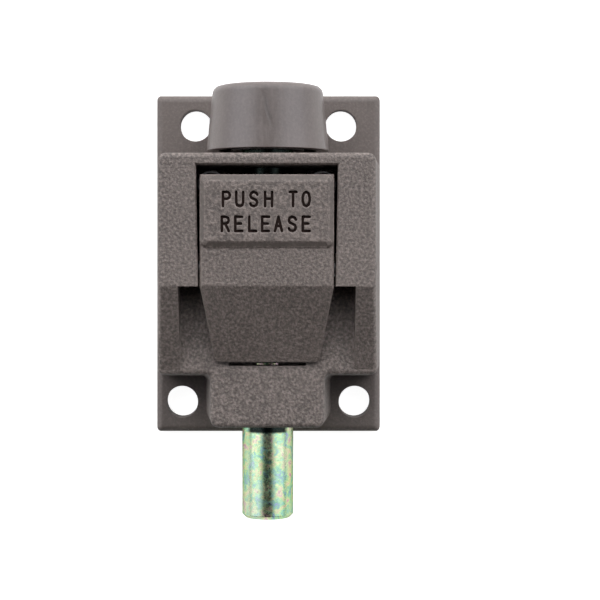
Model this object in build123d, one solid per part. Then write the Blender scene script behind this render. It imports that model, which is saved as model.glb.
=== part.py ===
from build123d import *
import os
from math import cos, pi, radians, sin, sqrt, tan

# Foot bolt for a sliding door, in millimetres.
# +Z is up along the bolt, +X is to the right, and the front faces -Y.
# The origin is the middle of the mounting plate, on the face that lies against the door.
# A depth is a distance out from the door, so it is a place at minus that value on Y.

# Mounting plate
plate_width = 36.5
plate_height = 54.8
plate_thickness = 3.0
plate_corner = 0.8
plate_edge_round = 1.1
hole_diameter = 5.1
upper_hole_spacing = 23.6
lower_hole_spacing = 27.9
hole_rows_spacing = 44.7
draft = 5.0

# Bolt and the depth of its line
bolt_diameter = 7.94
bolt_depth = 12.0
bolt_chamfer = 0.5
bolt_reach = 14.5
travel = 14.4
slide_clearance = 0.06

# Block that stands on the plate
boss_wall = 2.4
cheek_rise = 6.0
block_top = 16.65
block_corner = 1.2
ledge_corner = 0.9
ledge_inner_corner = 0.8
body_edge_round = 0.8
top_wall = 1.8
front_wall = 1.8
side_wall = 2.5
floor_wall = 1.25
sill_height = -3.2
ledge_height = -16.75
cheek_spacing = 26.4
slot_edge_bevel = 0.25

# Lower boss that guides the bolt
boss_width = 17.3
boss_bottom = -24.8
boss_corner = 1.3
guide_width = 14.4
guide_top = -12.3
boss_core_width = 13.0
boss_core_depth = 5.4
boss_core_wall = 2.0
rib_thickness = 1.2
rib_height = -13.2
rib_back = 3.0

# Knob
knob_gap = 1.0
knob_height = 10.05
knob_base_radius = 9.52
knob_top_radius = 8.65
knob_top_round = 1.2
knob_top_facets = 3
knob_flat_gap = 0.3
knob_wall = 1.9
knob_roof = 3.6
knob_core_radius = 5.6
spigot_diameter = 6.4
spigot_length = 6.6
spigot_start = 0.9
spigot_chamfer = 0.4

# Release lever
lever_width = 19.9
lever_side_gap = 0.25
lever_side_gap_at_top = 0.6
lever_top = 13.4
lever_wall = 2.0
lever_side_wall = 1.6
lever_side_top = 9.0
lever_toe = -14.8
lever_toe_inset = 2.1
lever_toe_round = 0.8
lever_toe_lift = 0.7
lever_bend_above_sill = 0.1
lever_edge_bevel = 0.3
lever_floor_gap = 0.3
pad_height = 10.9
pad_rise = 0.6
pad_corner = 1.1
pad_bevel = 0.55
tongue_width = 11.0
tongue_thickness = 1.0
tongue_clearance = 0.2
tongue_slot_side = 0.35
tongue_slot_end = 0.5
tongue_slot_below = 0.6
tongue_slot_above = 0.4
groove_width = 1.7
groove_depth = 1.3

# Pivot pin
pin_diameter = 2.5
pin_gap = 1.75
pin_height = -0.7
pin_clearance = 0.05
pin_recess = 0.2
pin_boss_wall = 1.15
lug_gap = 0.3

# Coils of all springs
coil_sides = 12
coil_end_gap = 0.06

# Return spring, thrust washer and retaining clip
return_wire = 0.55
return_coils = 5
return_clearance = 0.1
washer_thickness = 0.8
washer_radius = 5.2
washer_clearance = 0.1
clip_thickness = 0.6
clip_radius = 5.6
clip_inner_radius = 4.6
clip_groove_radius = 3.1
clip_mouth = 5.0
clip_lobe = 1.8
clip_stop_gap = 0.1

# Button springs
button_wire = 0.45
button_coil_radius = 1.95
button_coils = 4
button_spring_inset = 1.65
button_spring_top_gap = 0.6
spigot_clearance = 0.15
button_spigot_length = 1.6
shelf_depth = 10.3
shelf_thickness = 1.8
shelf_margin = 0.4
shelf_inner_margin = 2.1

# Places that follow from the sizes
slope = tan(radians(draft))
bolt_radius = bolt_diameter / 2
pin_radius = pin_diameter / 2
pin_depth = bolt_depth + washer_radius + pin_gap + pin_radius
floor_front = bolt_depth + bolt_radius + boss_wall
floor_back = floor_front - floor_wall
block_front = floor_front + cheek_rise
wall_back = block_front - front_wall
cavity_top = block_top - top_wall
cavity_bottom = ledge_height + top_wall
cavity_half = plate_width / 2 - side_wall
cheek_half = cheek_spacing / 2
cheek_foot = ledge_height + body_edge_round
slot_half = lever_width / 2 + lever_side_gap
slot_top_half = lever_width / 2 + lever_side_gap_at_top
bolt_tip = boss_bottom - bolt_reach
knob_base = block_top + knob_gap
knob_top = knob_base + knob_height
clip_top = cavity_top - clip_stop_gap - travel
clip_bottom = clip_top - clip_thickness
washer_bottom = clip_bottom - washer_thickness
pad_front = block_front + pad_rise
lever_back = block_front - lever_wall
lever_bend = sill_height + lever_bend_above_sill
lever_foot = floor_front + lever_floor_gap
tongue_bottom = lever_toe
tongue_top = tongue_bottom + tongue_thickness
tongue_tip = bolt_depth + bolt_radius + tongue_clearance
tongue_half = tongue_width / 2
groove_middle = (tongue_bottom + tongue_top) / 2
pin_boss_radius = pin_radius + pin_boss_wall
lug_inner = lever_width / 2 + lug_gap
wall_middle = cavity_half - floor_front * slope + side_wall / 2
pin_half = plate_width / 2 - pin_depth * slope - pin_recess
button_spring_x = lever_width / 2 - button_spring_inset
shelf_inner_x = button_spring_x - shelf_inner_margin
button_coil_outer = button_coil_radius + button_wire / sqrt(2)
button_spring_height = cavity_top - button_coil_outer - button_spring_top_gap
shelf_bottom = button_spring_height - button_coil_outer - shelf_margin
spring_spigot_radius = button_coil_radius * cos(pi / coil_sides) - button_wire / sqrt(2) - spigot_clearance


def at_depth(depth):
    """Plane parallel to the door at this depth, with X to the right and Z up."""
    return Plane.XZ.offset(depth)


def front_prism(sketch, near, far, taper=0.0):
    """Solid with a front-view outline, between two depths."""
    return extrude(at_depth(near) * sketch, amount=far - near, taper=taper)


def front_box(x_low, x_high, z_low, z_high, near, far):
    """Box from its sides, its bottom and top, and two depths."""
    outline = Pos((x_low + x_high) / 2, (z_low + z_high) / 2) * Rectangle(x_high - x_low, z_high - z_low)
    return front_prism(outline, near, far)


def side_prism(points, half_width):
    """Solid with a side-view outline of (depth, height) points, to both sides of the middle."""
    outline = Polygon(*[(-depth, height) for depth, height in points], align=None)
    return extrude(Plane.YZ * outline, amount=half_width, both=True)


def turned(points):
    """Solid turned about the bolt's line from (radius, height) points."""
    profile = Plane.XZ * Polygon(*points, align=None)
    return Pos(0, -bolt_depth, 0) * revolve(profile, Axis.Z)


def mirrored(solid):
    """The solid and its mirror image across the middle."""
    return solid + mirror(solid, about=Plane.YZ)


def round_post(x, z, radius, near, far):
    """Cylinder square to the door, between two depths."""
    return front_prism(Pos(x, z) * Circle(radius), near, far)


def cross_bar(radius, inner, outer):
    """Cylinder along X on the pivot's line, from inner to outer."""
    outline = Plane.YZ.offset(inner) * Pos(-pin_depth, pin_height) * Circle(radius)
    return extrude(outline, amount=outer - inner)


def edges_at_depth(solid, depth):
    """Edges that lie in one plane parallel to the door."""
    return solid.edges().filter_by_position(Axis.Y, -depth - 0.01, -depth + 0.01)


def leaning_rectangle(low, high, half_width, corner, far):
    """Outline at the door of a drafted solid, from its edges and corners at the outer end."""
    lean = far * slope
    outline = RectangleRounded(2 * (half_width + lean), high - low + 2 * lean, corner + lean)
    return Pos(0, (low + high) / 2) * outline


def make_plate():
    """Mounting plate with rounded front edges."""
    outline = RectangleRounded(plate_width, plate_height, plate_corner)
    plate = front_prism(outline, 0, plate_thickness, draft)
    return fillet(edges_at_depth(plate, plate_thickness), plate_edge_round)


def make_block():
    """Upper block, whose front slopes back along the two cheeks."""
    front_half = plate_width / 2 - block_front * slope
    back_half = plate_width / 2
    plan = [(-back_half, 0), (back_half, 0), (front_half, -block_front), (-front_half, -block_front)]
    side = [
        (0, block_top),
        (block_front, block_top),
        (block_front, sill_height),
        (floor_front, cheek_foot),
        (0, cheek_foot),
    ]
    block = side_prism(side, plate_width) & extrude(Polygon(*plan, align=None), plate_height, both=True)
    top_edges = block.edges().filter_by_position(Axis.Z, block_top - 0.1, block_top + 0.1)
    block = fillet([edge for edge in top_edges if abs(edge.center().X) > front_half - 0.1], block_corner)
    outer = [
        edge
        for face in block.faces().filter_by(lambda f: f.normal_at().Y < -0.5)
        for edge in face.edges()
        if abs(edge.center().X) > 0.1 or edge.center().Z > block_top - 0.1
    ]
    return fillet(outer, body_edge_round)


def make_lower_body():
    """Ledge and boss below the block, with one rounded edge round their common front."""
    ledge_half = plate_width / 2 - floor_front * slope
    ledge = leaning_rectangle(ledge_height, 0, ledge_half, ledge_corner, floor_front)
    boss = leaning_rectangle(boss_bottom, 0, boss_width / 2, boss_corner, floor_front)
    body = front_prism(ledge, 0, floor_front, draft) + front_prism(boss, 0, floor_front, draft)
    inner = [
        edge
        for edge in body.edges().filter_by(GeomType.LINE)
        if abs(edge.center().Z - ledge_height) < floor_front * slope
        and abs(abs(edge.center().X) - boss_width / 2) < floor_front * slope
        and abs(edge.tangent_at(0.5).Y) > 0.9
    ]
    body = fillet(inner, ledge_inner_corner)
    front = [edge for edge in edges_at_depth(body, floor_front) if edge.center().Z < sill_height]
    return fillet(front, body_edge_round)


def hollow(low, high, far):
    """Drafted space behind the walls, from the door out to a depth, between two heights."""
    far_half = cavity_half - far * slope
    plan = Polygon((-cavity_half, 0), (-far_half, -far), (far_half, -far), (cavity_half, 0), align=None)
    return extrude(Plane.XY.offset(low) * plan, amount=high - low)


def make_inner_supports():
    """Rib, spring shelf with its spigot, and pivot lug, on the right-hand side."""
    rib = front_box(
        (guide_width - rib_thickness) / 2,
        wall_middle,
        rib_height - rib_thickness / 2,
        rib_height + rib_thickness / 2,
        rib_back,
        floor_back + floor_wall / 2,
    )
    back = shelf_depth - shelf_thickness
    shelf = front_box(shelf_inner_x, wall_middle, shelf_bottom, cavity_top + top_wall / 2, back, shelf_depth)
    spigot_end = shelf_depth + button_spigot_length
    spigot = round_post(button_spring_x, button_spring_height, spring_spigot_radius, back, spigot_end)
    lug = cross_bar(pin_boss_radius, lug_inner, wall_middle) + front_box(
        lug_inner,
        wall_middle,
        pin_height - pin_boss_radius,
        pin_height + pin_boss_radius,
        pin_depth,
        wall_back + front_wall / 2,
    )
    return rib + shelf + spigot + lug


def make_housing():
    """Moulded housing: plate, block and boss, cored from behind and open at the lever."""
    body = make_plate() + make_block() + make_lower_body()
    body -= hollow(cavity_bottom, sill_height, floor_back)
    body -= hollow(sill_height, cavity_top, wall_back)
    body -= front_box(-cheek_half, cheek_half, ledge_height, sill_height, floor_front, block_front)
    slot = Polygon(
        (-slot_half, sill_height),
        (slot_half, sill_height),
        (slot_top_half, cavity_top),
        (-slot_top_half, cavity_top),
        align=None,
    )
    body -= front_prism(slot, wall_back, block_front)
    slot_rim = [
        edge
        for edge in edges_at_depth(body, block_front)
        if edge.center().Z > sill_height + 1
        and edge.center().Z < cavity_top + 0.1
        and abs(edge.center().X) < slot_top_half + 0.1
    ]
    body = chamfer(slot_rim, slot_edge_bevel)

    core_bottom = boss_bottom + boss_core_wall
    core = Pos(0, core_bottom / 2) * Rectangle(boss_core_width, -core_bottom)
    body -= front_prism(core, 0, boss_core_depth, draft) & front_box(
        -boss_core_width, boss_core_width, boss_bottom, cavity_bottom, 0, boss_core_depth
    )
    guide_half = guide_width / 2
    guide_far = floor_back + floor_wall / 2
    body += front_box(-guide_half, guide_half, cavity_bottom, guide_top, boss_core_depth, guide_far)
    body += mirrored(make_inner_supports())

    body -= Pos(0, -bolt_depth, 0) * Cylinder(bolt_radius + slide_clearance, 2 * plate_height)
    body -= front_box(
        -tongue_half - tongue_slot_side,
        tongue_half + tongue_slot_side,
        tongue_bottom - tongue_slot_below,
        tongue_top + tongue_slot_above,
        tongue_tip - tongue_slot_end,
        floor_front,
    )
    body -= cross_bar(pin_radius, -plate_width, plate_width)
    row = hole_rows_spacing / 2
    for spacing, height in ((upper_hole_spacing, row), (lower_hole_spacing, -row)):
        for x in (-spacing / 2, spacing / 2):
            body -= round_post(x, height, hole_diameter / 2, 0, plate_thickness)
    return body


def make_bolt():
    """Steel bolt with its latch groove, clip groove and the spigot that carries the knob."""
    groove_radius = bolt_radius - groove_depth
    groove_low = groove_middle - groove_width / 2
    groove_high = groove_middle + groove_width / 2
    shoulder = knob_base + spigot_start
    spigot = spigot_diameter / 2
    return turned(
        [
            (0, bolt_tip),
            (bolt_radius - bolt_chamfer, bolt_tip),
            (bolt_radius, bolt_tip + bolt_chamfer),
            (bolt_radius, groove_low),
            (groove_radius, groove_low),
            (groove_radius, groove_high),
            (bolt_radius, groove_high),
            (bolt_radius, clip_bottom),
            (clip_groove_radius, clip_bottom),
            (clip_groove_radius, clip_top),
            (bolt_radius, clip_top),
            (bolt_radius, shoulder),
            (spigot, shoulder),
            (spigot, shoulder + spigot_length - spigot_chamfer),
            (spigot - spigot_chamfer, shoulder + spigot_length),
            (0, shoulder + spigot_length),
        ]
    )


def make_knob():
    """Foot knob with a flat towards the plate, hollow round the core that holds the bolt."""
    turns = [radians(90 * i / knob_top_facets) for i in range(knob_top_facets + 1)]
    rim = [
        (knob_top_radius - knob_top_round * (1 - cos(turn)), knob_top - knob_top_round * (1 - sin(turn)))
        for turn in turns
    ]
    knob = turned([(0, knob_base), (knob_base_radius, knob_base), *rim, (0, knob_top)])
    flat_depth = plate_thickness + knob_flat_gap
    knob -= front_box(-knob_base_radius, knob_base_radius, knob_base, knob_top, 0, flat_depth)
    hollow_top = knob_top - knob_roof
    outer = knob_base_radius - knob_wall
    ring = turned(
        [
            (knob_core_radius, knob_base),
            (outer, knob_base),
            (outer, hollow_top),
            (knob_core_radius, hollow_top),
        ]
    )
    ring &= front_box(
        -outer, outer, knob_base, hollow_top, flat_depth + knob_wall, bolt_depth + knob_base_radius
    )
    return knob - ring - make_bolt()


def make_washer():
    """Thrust washer between the return spring and the clip."""
    inner = bolt_radius + washer_clearance
    return turned(
        [
            (inner, washer_bottom),
            (washer_radius, washer_bottom),
            (washer_radius, clip_bottom),
            (inner, clip_bottom),
        ]
    )


def make_clip():
    """E-shaped clip that snaps into the bolt's groove from the front."""
    middle = (clip_inner_radius + clip_radius) / 2
    lobe = Pos(0, middle / 2) * Rectangle(clip_lobe, middle)
    outline = Circle(clip_radius) - Circle(clip_inner_radius)
    outline -= Pos(0, -clip_radius) * Rectangle(clip_mouth, 2 * clip_radius)
    for turn in (-90, 0, 90):
        outline += Rot(0, 0, turn) * lobe
    outline -= Circle(clip_groove_radius)
    return Pos(0, -bolt_depth, clip_bottom) * extrude(outline, amount=clip_thickness)


def half_diagonal(wire):
    """Reach of a square wire from its middle to a corner, since the section rolls along the coil."""
    return wire / sqrt(2)


def coil_spring(mean_radius, wire, coils, length):
    """Spring of square wire with straight-sided coils that stands on the origin, along Z."""
    low = half_diagonal(wire) + coil_end_gap
    rise = (length - 2 * low) / (coils * coil_sides)
    turn = 2 * pi / coil_sides
    points = [
        (mean_radius * cos(i * turn), mean_radius * sin(i * turn), low + i * rise)
        for i in range(coils * coil_sides + 1)
    ]
    path = Polyline(*points)
    section = Plane(path @ 0, x_dir=(0, 0, 1), z_dir=path % 0) * Rectangle(wire, wire)
    return sweep(section, path=path, transition=Transition.RIGHT)


def make_return_spring():
    """Spring round the bolt, from the guide up to the washer."""
    mean_radius = (bolt_radius + return_clearance + half_diagonal(return_wire)) / cos(pi / coil_sides)
    spring = coil_spring(mean_radius, return_wire, return_coils, washer_bottom - guide_top)
    return Pos(0, -bolt_depth, guide_top) * spring


def make_button_spring(x):
    """Spring from its shelf out to the back of the lever's pad."""
    spring = coil_spring(button_coil_radius, button_wire, button_coils, lever_back - shelf_depth)
    return at_depth(shelf_depth).location * Pos(x, button_spring_height) * spring


def make_lever_plate():
    """Front wall, sloping toe and side walls of the lever."""
    half = lever_width / 2
    toe_half = half - lever_toe_inset
    toe_front = floor_front + lever_toe_lift
    outline = Polygon(
        (-half, lever_top),
        (-half, lever_bend),
        (-toe_half, lever_toe),
        (toe_half, lever_toe),
        (half, lever_bend),
        (half, lever_top),
        align=None,
    )
    outline = fillet(outline.vertices().group_by(Axis.Y)[0], lever_toe_round)
    side = [
        (block_front, lever_top),
        (block_front, lever_bend),
        (toe_front, lever_toe),
        (lever_foot, lever_toe),
        (lever_foot, sill_height),
        (pin_depth - pin_boss_radius, pin_height),
        (pin_depth - pin_boss_radius, pin_height + pin_boss_radius),
        (lever_back, lever_side_top),
        (lever_back, lever_top),
    ]
    plan = Polygon(
        (-half, 0),
        (half, 0),
        (half, lever_edge_bevel - block_front),
        (half - lever_edge_bevel, -block_front),
        (lever_edge_bevel - half, -block_front),
        (-half, lever_edge_bevel - block_front),
        align=None,
    )
    blank = front_prism(outline, floor_back, block_front) & side_prism(side, lever_width)
    blank &= extrude(plan, amount=plate_height, both=True)
    inside = [
        (floor_back, lever_top),
        (lever_back, lever_top),
        (lever_back, lever_bend),
        (toe_front - lever_wall, lever_toe),
        (floor_back, lever_toe),
    ]
    return blank - side_prism(inside, half - lever_side_wall)


def make_lever():
    """Release lever with its raised pad, pivot bosses, latch tongue and spring spigots."""
    half = lever_width / 2
    boss_inner = half - 2 * lever_side_wall
    lever = make_lever_plate()
    lever += mirrored(cross_bar(pin_boss_radius, boss_inner, half))
    tongue_root = lever_foot + lever_edge_bevel
    lever += front_box(-tongue_half, tongue_half, tongue_bottom, tongue_top, tongue_tip, tongue_root)
    spigot_end = lever_back - button_spigot_length
    lever += mirrored(
        round_post(button_spring_x, button_spring_height, spring_spigot_radius, spigot_end, block_front)
    )
    pad_outline = Pos(0, lever_top - pad_height / 2) * RectangleRounded(lever_width, pad_height, pad_corner)
    pad = front_prism(pad_outline, lever_back, pad_front)
    lever += chamfer(edges_at_depth(pad, pad_front), pad_bevel)
    return lever - cross_bar(pin_radius + pin_clearance, -half, half)


nodes = {
    "housing": make_housing(),
    "bolt": make_bolt(),
    "knob": make_knob(),
    "return_spring": make_return_spring(),
    "thrust_washer": make_washer(),
    "retaining_clip": make_clip(),
    "release_lever": make_lever(),
    "pivot_pin": cross_bar(pin_radius, -pin_half, pin_half),
    "button_spring_left": make_button_spring(-button_spring_x),
    "button_spring_right": make_button_spring(button_spring_x),
}

os.makedirs("parts", exist_ok=True)
for name, solid in nodes.items():
    export_step(solid, f"parts/{name}.step")
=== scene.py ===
"""Looks of a foot bolt: brown moulded housing, foot knob and release lever, round a yellow zinc bolt."""

import logging
import math
from collections.abc import Sequence
from dataclasses import dataclass, field
from enum import Enum

import bmesh
import bpy
from mathutils import Matrix, Vector


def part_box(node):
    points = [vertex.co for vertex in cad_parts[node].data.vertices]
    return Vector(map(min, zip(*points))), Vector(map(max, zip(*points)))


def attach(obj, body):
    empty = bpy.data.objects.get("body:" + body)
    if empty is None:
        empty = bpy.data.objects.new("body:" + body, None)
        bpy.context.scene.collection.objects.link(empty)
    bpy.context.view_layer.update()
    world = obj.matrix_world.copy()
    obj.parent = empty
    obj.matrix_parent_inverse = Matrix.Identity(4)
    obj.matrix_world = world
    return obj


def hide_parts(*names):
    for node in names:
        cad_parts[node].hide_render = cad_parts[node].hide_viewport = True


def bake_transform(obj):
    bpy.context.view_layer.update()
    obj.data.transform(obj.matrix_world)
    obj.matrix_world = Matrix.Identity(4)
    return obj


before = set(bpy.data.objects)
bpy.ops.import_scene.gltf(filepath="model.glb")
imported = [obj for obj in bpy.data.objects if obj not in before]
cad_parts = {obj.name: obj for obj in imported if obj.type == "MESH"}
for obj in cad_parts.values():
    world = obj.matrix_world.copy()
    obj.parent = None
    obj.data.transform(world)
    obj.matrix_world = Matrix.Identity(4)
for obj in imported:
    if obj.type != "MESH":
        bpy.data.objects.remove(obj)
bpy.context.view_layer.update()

log = logging.getLogger("foot_bolt")
MM = 0.001
SAME_PLACE_MM = 0.01
FLAT_ANGLE = 21.0  # degrees; below the 24.4 of the mouldings' bends
Colour = tuple[float, float, float]
Point = tuple[float, float]
Socket = bpy.types.NodeSocket


class Slot(Enum):
    """Finishes that the part's record names."""

    BROWN = "moulded_brown"
    YELLOW_ZINC = "yellow_zinc"
    ZINC = "zinc_steel"
    SPRING = "spring_steel"


class Body(Enum):
    """Moving bodies of the part."""

    HOUSING = "housing"
    BOLT = "bolt"
    LEVER = "lever"


class Graph:
    """Short way to place and join the nodes of one tree."""

    def __init__(self, tree: bpy.types.NodeTree) -> None:
        """Keeps the tree.

        Args:
            tree: Shader or geometry tree that the nodes go into.
        """
        self.tree = tree

    def add(self, kind: str, inputs: dict | None = None, **settings: object) -> bpy.types.Node:
        """Places one node.

        Args:
            kind: The node's type name.
            inputs: Input sockets by name or number, each with a value or a socket to join.
            settings: The node's own settings.

        Returns:
            The node.
        """
        node = self.tree.nodes.new(kind)
        for name, value in settings.items():
            setattr(node, name, value)
        for key, value in (inputs or {}).items():
            if isinstance(value, Socket):
                self.tree.links.new(value, node.inputs[key])
            else:
                node.inputs[key].default_value = value
        return node

    def math(self, operation: str, *values: object, clamp: bool = False) -> Socket:
        """Result of one arithmetic step.

        Args:
            operation: Blender's name of the step.
            values: Numbers or sockets.
            clamp: Whether the result stays between 0 and 1.

        Returns:
            The result's socket.
        """
        node = self.add("ShaderNodeMath", dict(enumerate(values)), operation=operation, use_clamp=clamp)
        return node.outputs[0]

    def span(
        self, value: object, low: object, high: object, to_low: object = 0.0, to_high: object = 1.0
    ) -> Socket:
        """Value mapped from one span to another, held at the ends.

        Args:
            value: Number or socket to map.
            low: Start of the first span.
            high: End of the first span.
            to_low: Start of the second span.
            to_high: End of the second span.

        Returns:
            The mapped value's socket.
        """
        inputs = {0: value, 1: low, 2: high, 3: to_low, 4: to_high}
        return self.add("ShaderNodeMapRange", inputs, clamp=True).outputs[0]

    def mix(self, share: object, first: object, second: object) -> Socket:
        """Blend of two colours.

        Args:
            share: Share of the second colour.
            first: First colour or socket.
            second: Second colour or socket.

        Returns:
            The blended colour's socket.
        """
        node = self.add("ShaderNodeMix", {0: share}, data_type="RGBA")
        for key, value in ((6, first), (7, second)):
            if isinstance(value, Socket):
                self.tree.links.new(value, node.inputs[key])
            else:
                node.inputs[key].default_value = (*value, 1.0)
        return node.outputs[2]


@dataclass(frozen=True)
class GroupSocket:
    """One input or output of a node group."""

    name: str
    kind: str = "NodeSocketFloat"
    value: float | None = None


class Effects:
    """Node groups that several finishes share."""

    FINE_PER_GRIT = 2.3
    FINE_DEPTH = -0.35
    RELIEF_SPAN = (0.3, 0.7)
    HOLLOW_SPAN = (0.51, 0.36)
    PEAK_SPAN = (0.52, 0.66)
    PATCH_SPAN = (0.35, 0.68)
    EDGE_SPAN = (0.997, 0.955)

    def __init__(self) -> None:
        """Builds each group once."""
        self.grain = self._grain()
        self.patches = self._patches()
        self.edges = self._edges()

    @staticmethod
    def _group(name: str, inputs: Sequence[GroupSocket], outputs: Sequence[GroupSocket]) -> tuple:
        """Starts a group.

        Args:
            name: The group's name.
            inputs: Its inputs.
            outputs: Its outputs.

        Returns:
            The tree, its graph, and its input and output nodes.
        """
        tree = bpy.data.node_groups.new(name, "ShaderNodeTree")
        for direction, sockets in (("INPUT", inputs), ("OUTPUT", outputs)):
            for socket in sockets:
                made = tree.interface.new_socket(name=socket.name, in_out=direction, socket_type=socket.kind)
                if socket.value is not None:
                    made.default_value = socket.value
        graph = Graph(tree)
        return tree, graph, graph.add("NodeGroupInput"), graph.add("NodeGroupOutput")

    def _grain(self) -> bpy.types.NodeTree:
        """Blasted grain of a mould: rounded grits of one size over a finer one."""
        tree, graph, inside, out = self._group(
            "mould_grain",
            [GroupSocket("Vector", "NodeSocketVector"), GroupSocket("Grit", value=0.35 * MM)],
            [GroupSocket("Height"), GroupSocket("Hollows"), GroupSocket("Peaks")],
        )
        place = inside.outputs["Vector"]
        density = graph.math("DIVIDE", 1.0, inside.outputs["Grit"])
        noise = graph.add(
            "ShaderNodeTexNoise", {"Vector": place, "Scale": density, "Detail": 2.5, "Roughness": 0.62}
        ).outputs[0]
        fine = graph.math("MULTIPLY", density, self.FINE_PER_GRIT)
        grits = graph.add("ShaderNodeTexVoronoi", {"Vector": place, "Scale": fine}, feature="SMOOTH_F1")
        rounded = graph.math("MULTIPLY", grits.outputs[0], self.FINE_DEPTH)
        tree.links.new(
            graph.math("ADD", graph.span(noise, *self.RELIEF_SPAN), rounded), out.inputs["Height"]
        )
        tree.links.new(graph.span(noise, *self.HOLLOW_SPAN), out.inputs["Hollows"])
        tree.links.new(graph.span(noise, *self.PEAK_SPAN), out.inputs["Peaks"])
        return tree

    def _patches(self) -> bpy.types.NodeTree:
        """Broad uneven patches, for soiling and handling."""
        tree, graph, inside, out = self._group(
            "handling_patches",
            [
                GroupSocket("Vector", "NodeSocketVector"),
                GroupSocket("Size", value=6 * MM),
                GroupSocket("Stretch", value=1.0),
            ],
            [GroupSocket("Mask")],
        )
        shrink = graph.math("DIVIDE", 1.0, inside.outputs["Stretch"])
        scale = graph.add("ShaderNodeCombineXYZ", {0: 1.0, 1: 1.0, 2: shrink})
        vector = graph.add(
            "ShaderNodeVectorMath", {0: inside.outputs["Vector"], 1: scale.outputs[0]}, operation="MULTIPLY"
        )
        density = graph.math("DIVIDE", 1.0, inside.outputs["Size"])
        noise = graph.add(
            "ShaderNodeTexNoise",
            {"Vector": vector.outputs[0], "Scale": density, "Detail": 4.0, "Roughness": 0.55},
        )
        tree.links.new(graph.span(noise.outputs[0], *self.PATCH_SPAN), out.inputs["Mask"])
        return tree

    def _edges(self) -> bpy.types.NodeTree:
        """Edges rounded in the light, with a mask of where they are."""
        tree, graph, inside, out = self._group(
            "soft_edges",
            [GroupSocket("Radius", value=0.16 * MM)],
            [GroupSocket("Normal", "NodeSocketVector"), GroupSocket("Edge")],
        )
        bevel = graph.add("ShaderNodeBevel", {"Radius": inside.outputs["Radius"]}, samples=8)
        flat = graph.add("ShaderNodeNewGeometry")
        dot = graph.add(
            "ShaderNodeVectorMath",
            {0: bevel.outputs[0], 1: flat.outputs["True Normal"]},
            operation="DOT_PRODUCT",
        )
        tree.links.new(bevel.outputs[0], out.inputs["Normal"])
        tree.links.new(graph.span(dot.outputs["Value"], *self.EDGE_SPAN), out.inputs["Edge"])
        return tree

    @staticmethod
    def place(graph: Graph, group: bpy.types.NodeTree, inputs: dict | None = None) -> bpy.types.Node:
        """Places a shared group in a material's graph.

        Args:
            graph: The material's graph.
            group: The shared group.
            inputs: Values or sockets for its inputs.

        Returns:
            The group's node.
        """
        node = graph.add("ShaderNodeGroup", node_tree=group)
        for key, value in (inputs or {}).items():
            if isinstance(value, Socket):
                graph.tree.links.new(value, node.inputs[key])
            else:
                node.inputs[key].default_value = value
        return node


def new_material(name: str) -> tuple[bpy.types.Material, Graph, bpy.types.Node]:
    """Starts a material with one Principled shader.

    Args:
        name: The material's name.

    Returns:
        The material, its graph and its shader.
    """
    material = bpy.data.materials.new(name)
    material.use_nodes = True
    material.node_tree.nodes.clear()
    graph = Graph(material.node_tree)
    shader = graph.add("ShaderNodeBsdfPrincipled")
    out = graph.add("ShaderNodeOutputMaterial")
    material.node_tree.links.new(shader.outputs[0], out.inputs["Surface"])
    return material, graph, shader


@dataclass(frozen=True)
class KnobWearAndSheen:
    """Rub marks, whose paler colour also paints a highlight down the knob's middle, and the one slanting dent
    that feet leave on the front of the knob.
    """

    streak_mm: float = 0.6
    streak_stretch: float = 5.0
    sheen_middle_mm: float = 0.1
    sheen_half_mm: Point = (1.5, 5.5)
    dent_height_mm: float = 23.4
    dent_middle_mm: float = 0.05
    dent_slant: float = -0.24
    dent_half_mm: Point = (0.05, 0.42)
    dent_reach_mm: Point = (1.2, 2.9)
    # share of painted highlight in the rub marks
    sheen_pale: float = 0.3
    rub_dull: float = 0.1
    dent_dark: float = 0.35
    dent_depth: float = 1.2

    def rub_and_sheen(self, graph: Graph, apart: bpy.types.Node, effects: Effects, place: Socket) -> Socket:
        """Mask of the upright rub marks, which also paints a highlight down the knob's middle.

        Args:
            graph: The material's graph.
            apart: Node that splits the place into its axes.
            effects: Shared node groups.
            place: The place's socket.

        Returns:
            The mask's socket.
        """
        sizes = {"Vector": place, "Size": self.streak_mm * MM, "Stretch": self.streak_stretch}
        streaks = Effects.place(graph, effects.patches, sizes)
        off = graph.math("ABSOLUTE", graph.math("ADD", apart.outputs[0], -self.sheen_middle_mm * MM))
        whole, end = self.sheen_half_mm
        near = graph.span(off, end * MM, whole * MM)
        return graph.math("MULTIPLY", graph.math("POWER", streaks.outputs["Mask"], 2.0), near)

    def dent(self, graph: Graph, apart: bpy.types.Node) -> Socket:
        """Mask of the dent.

        Args:
            graph: The material's graph.
            apart: Node that splits the place into its axes.

        Returns:
            The mask's socket.
        """
        drop = graph.math("SUBTRACT", apart.outputs[2], self.dent_height_mm * MM)
        line = graph.math("MULTIPLY_ADD", drop, self.dent_slant, self.dent_middle_mm * MM)
        off = graph.math("ABSOLUTE", graph.math("SUBTRACT", apart.outputs[0], line))
        across = graph.span(off, self.dent_half_mm[1] * MM, self.dent_half_mm[0] * MM)
        reach = graph.math("ABSOLUTE", drop)
        along = graph.span(reach, self.dent_reach_mm[1] * MM, self.dent_reach_mm[0] * MM)
        return graph.math("MULTIPLY", across, along)


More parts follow.
